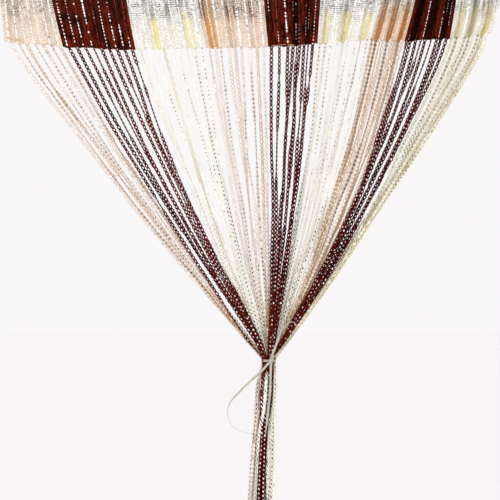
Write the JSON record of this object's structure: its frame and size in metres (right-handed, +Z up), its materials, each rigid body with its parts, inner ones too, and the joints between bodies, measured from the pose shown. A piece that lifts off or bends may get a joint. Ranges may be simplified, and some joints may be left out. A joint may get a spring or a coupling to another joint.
{
  "type": "string curtain",
  "caption": "Gathered string curtain: a pleated knitted heading in beige, brown and ivory blocks, a fringe of chain-knit strings with silver thread, and a narrow tape tie.",
  "frame": {"origin": "middle of the heading's top edge, where the curtain is held", "axes": "+X along the heading to the right as seen from the room, -Y towards the room, +Z up; the strings hang down -Z"},
  "size_m": [0.642, 0.033, 2.0035],
  "materials": {
    "heading_knit": "matte rib knit in beige, brown and ivory blocks, with a silver thread along each rib",
    "string_brown": "soft chain-knit polyester yarn, red-brown",
    "string_ivory": "soft chain-knit polyester yarn, ivory",
    "string_beige": "soft chain-knit polyester yarn, beige",
    "silver_thread": "flat metallised film thread, bright and broken",
    "tie_tape": "narrow flat tape, slightly glossy greyed ivory"
  },
  "bodies": {
    "root": {"heading_band": "heading_knit", "string_comb": "string_brown", "tie_wrap": "tie_tape", "tie_loop": "tie_tape", "tie_end_left": "tie_tape", "tie_end_tail": "tie_tape"}
  },
  "joints": []
}
